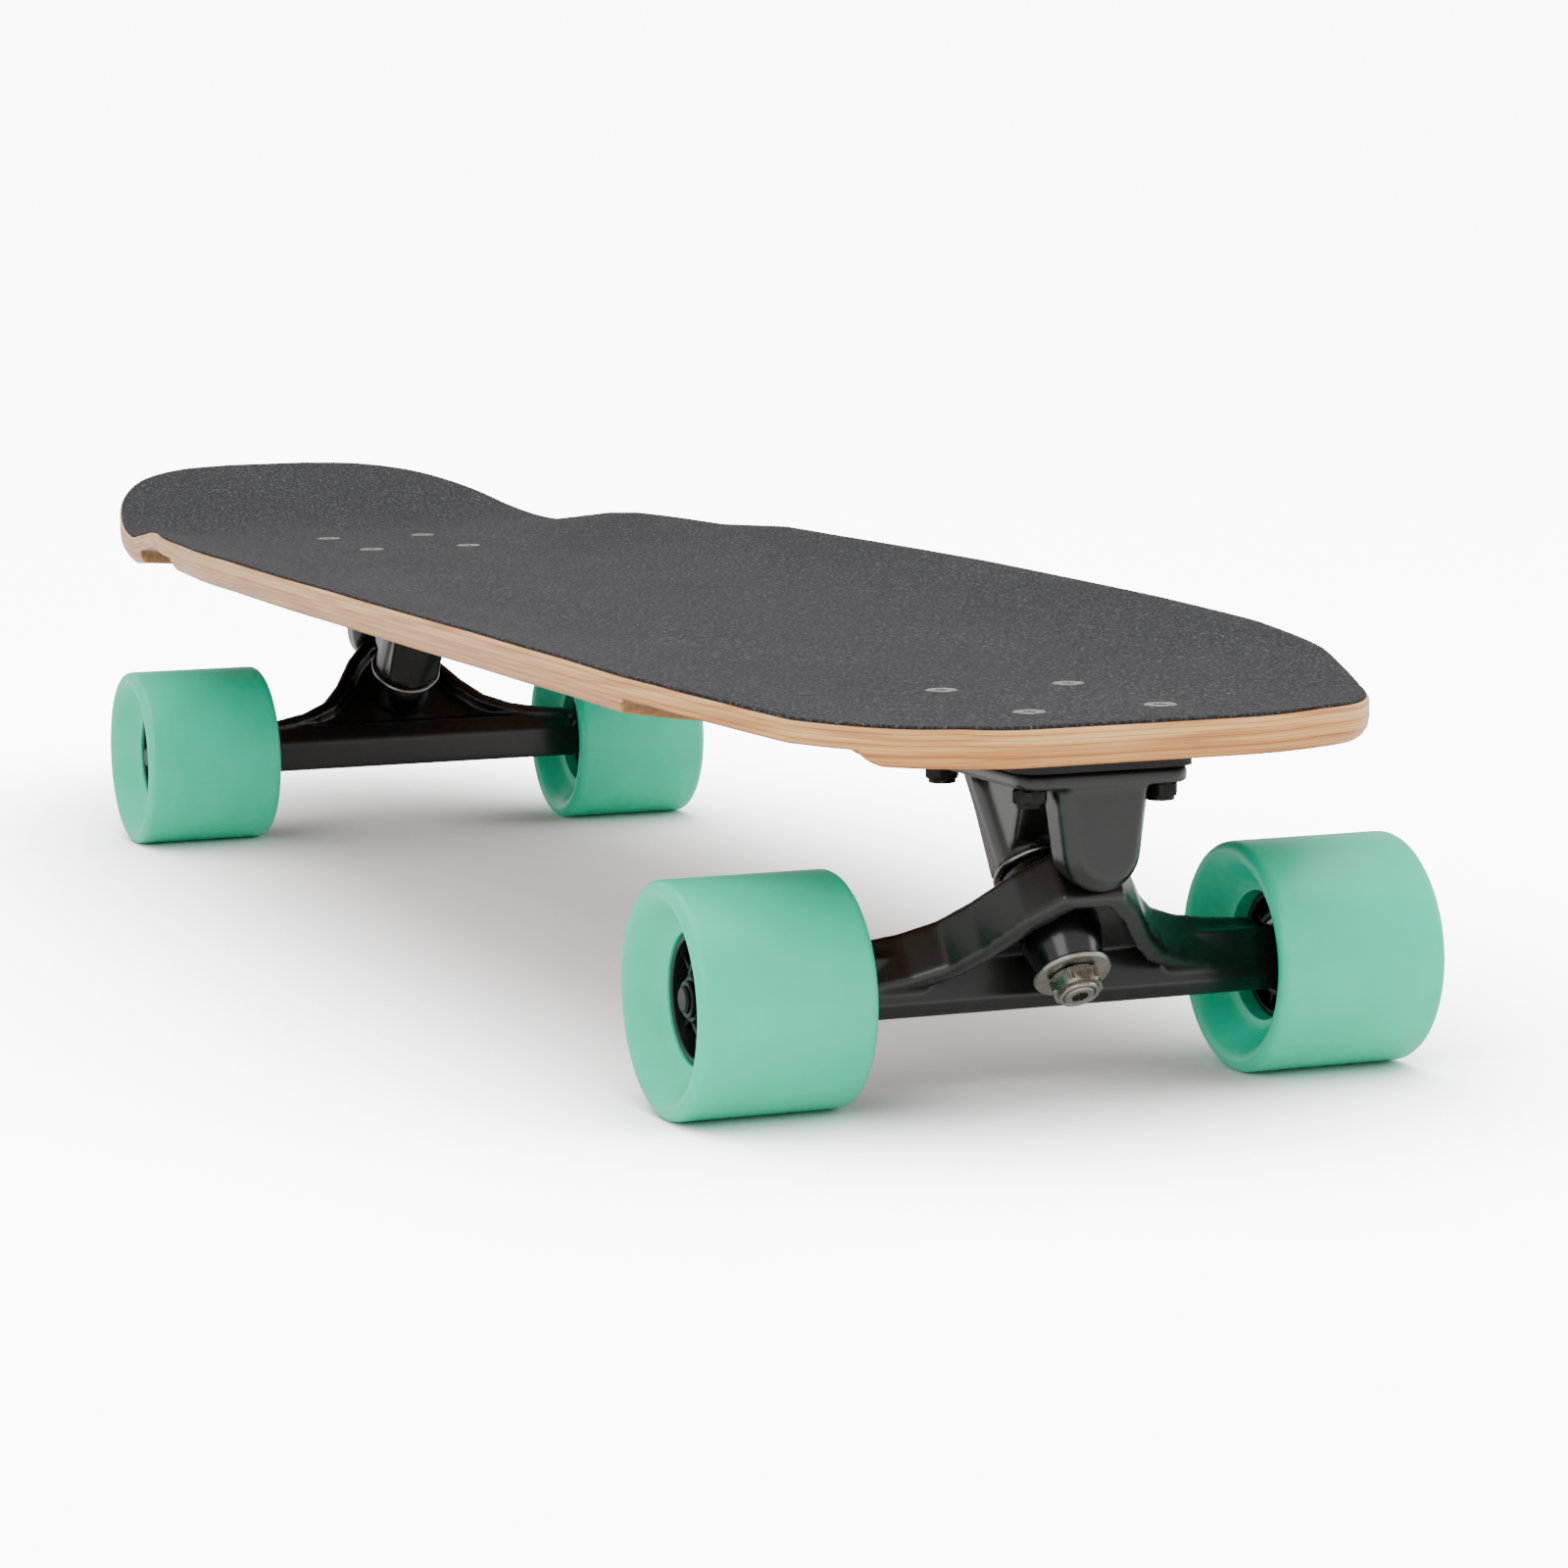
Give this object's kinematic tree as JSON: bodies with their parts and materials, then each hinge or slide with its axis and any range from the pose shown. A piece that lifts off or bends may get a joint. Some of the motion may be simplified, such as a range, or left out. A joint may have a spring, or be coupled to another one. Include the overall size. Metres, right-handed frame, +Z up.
{
  "type": "skateboard",
  "caption": "Kicktail cruiser board with grip tape, wheel wells, reverse-kingpin trucks that steer, and soft wheels that spin on bearings.",
  "frame": {"origin": "on the ground under the middle of the board's length and width", "axes": "+X towards the nose, +Y to the rider's left when facing the nose, +Z up"},
  "size_m": [0.923, 0.248, 0.1399],
  "materials": {
    "maple": "clear satin lacquer on laminated maple",
    "grip": "coarse grit",
    "black_cast": "satin black coated casting",
    "riser_rubber": "matt",
    "bushing_urethane": "smooth",
    "wheel_urethane": "smooth satin cast urethane",
    "black_nylon": "moulded",
    "zinc": "zinc plated",
    "black_zinc": "black zinc plated",
    "axle_steel": "turned steel",
    "bearing_steel": "ground steel"
  },
  "bodies": {
    "board": {"deck": "maple", "grip_tape": "grip", "nose_riser_pad": "riser_rubber", "nose_baseplate": "black_cast", "nose_pivot_cup": "black_nylon", "nose_kingpin": "zinc", "nose_kingpin_nut": "zinc", "nose_board_washer": "zinc", "nose_board_bushing": "bushing_urethane", "nose_road_bushing": "bushing_urethane", "nose_road_washer": "zinc", "nose_outer_left_mount_bolt": "zinc", "nose_outer_left_lock_nut": "black_zinc", "nose_outer_right_mount_bolt": "zinc", "nose_outer_right_lock_nut": "black_zinc", "nose_inner_left_mount_bolt": "zinc", "nose_inner_left_lock_nut": "black_zinc", "nose_inner_right_mount_bolt": "zinc", "nose_inner_right_lock_nut": "black_zinc", "tail_riser_pad": "riser_rubber", "tail_baseplate": "black_cast", "tail_pivot_cup": "black_nylon", "tail_kingpin": "zinc", "tail_kingpin_nut": "zinc", "tail_board_washer": "zinc", "tail_board_bushing": "bushing_urethane", "tail_road_bushing": "bushing_urethane", "tail_road_washer": "zinc", "tail_outer_left_mount_bolt": "zinc", "tail_outer_left_lock_nut": "black_zinc", "tail_outer_right_mount_bolt": "zinc", "tail_outer_right_lock_nut": "black_zinc", "tail_inner_left_mount_bolt": "zinc", "tail_inner_left_lock_nut": "black_zinc", "tail_inner_right_mount_bolt": "zinc", "tail_inner_right_lock_nut": "black_zinc"},
    "nose_hanger_body": {"nose_hanger": "black_cast", "nose_axle": "axle_steel", "nose_left_axle_nut": "black_zinc", "nose_right_axle_nut": "black_zinc"},
    "tail_hanger_body": {"tail_hanger": "black_cast", "tail_axle": "axle_steel", "tail_left_axle_nut": "black_zinc", "tail_right_axle_nut": "black_zinc"},
    "nose_left_wheel": {"nose_left_tyre": "wheel_urethane", "nose_left_core": "black_nylon", "nose_left_inner_bearing": "bearing_steel", "nose_left_outer_bearing": "bearing_steel"},
    "nose_right_wheel": {"nose_right_tyre": "wheel_urethane", "nose_right_core": "black_nylon", "nose_right_inner_bearing": "bearing_steel", "nose_right_outer_bearing": "bearing_steel"},
    "tail_left_wheel": {"tail_left_tyre": "wheel_urethane", "tail_left_core": "black_nylon", "tail_left_inner_bearing": "bearing_steel", "tail_left_outer_bearing": "bearing_steel"},
    "tail_right_wheel": {"tail_right_tyre": "wheel_urethane", "tail_right_core": "black_nylon", "tail_right_inner_bearing": "bearing_steel", "tail_right_outer_bearing": "bearing_steel"}
  },
  "joints": [
    {"name": "nose_steer", "type": "hinge", "parent": "board", "child": "nose_hanger_body", "pos_m": [0.40096, 0, 0.05214], "axis": [0.766, 0, 0.6428], "range_deg": [-15, 15], "stiffness_Nm_per_rad": 60, "deforming": ["nose_board_bushing", "nose_road_bushing"]},
    {"name": "tail_steer", "type": "hinge", "parent": "board", "child": "tail_hanger_body", "pos_m": [-0.26195, 0, 0.05214], "axis": [-0.766, 0, 0.6428], "range_deg": [-15, 15], "stiffness_Nm_per_rad": 60, "deforming": ["tail_board_bushing", "tail_road_bushing"]},
    {"name": "nose_left_wheel_spin", "type": "hinge", "parent": "nose_hanger_body", "child": "nose_left_wheel", "pos_m": [0.38675, 0.0915, 0.035], "axis": [0, 1, 0], "continuous": true},
    {"name": "nose_right_wheel_spin", "type": "hinge", "parent": "nose_hanger_body", "child": "nose_right_wheel", "pos_m": [0.38675, -0.0915, 0.035], "axis": [0, 1, 0], "continuous": true},
    {"name": "tail_left_wheel_spin", "type": "hinge", "parent": "tail_hanger_body", "child": "tail_left_wheel", "pos_m": [-0.24775, 0.0915, 0.035], "axis": [0, 1, 0], "continuous": true},
    {"name": "tail_right_wheel_spin", "type": "hinge", "parent": "tail_hanger_body", "child": "tail_right_wheel", "pos_m": [-0.24775, -0.0915, 0.035], "axis": [0, 1, 0], "continuous": true}
  ]
}
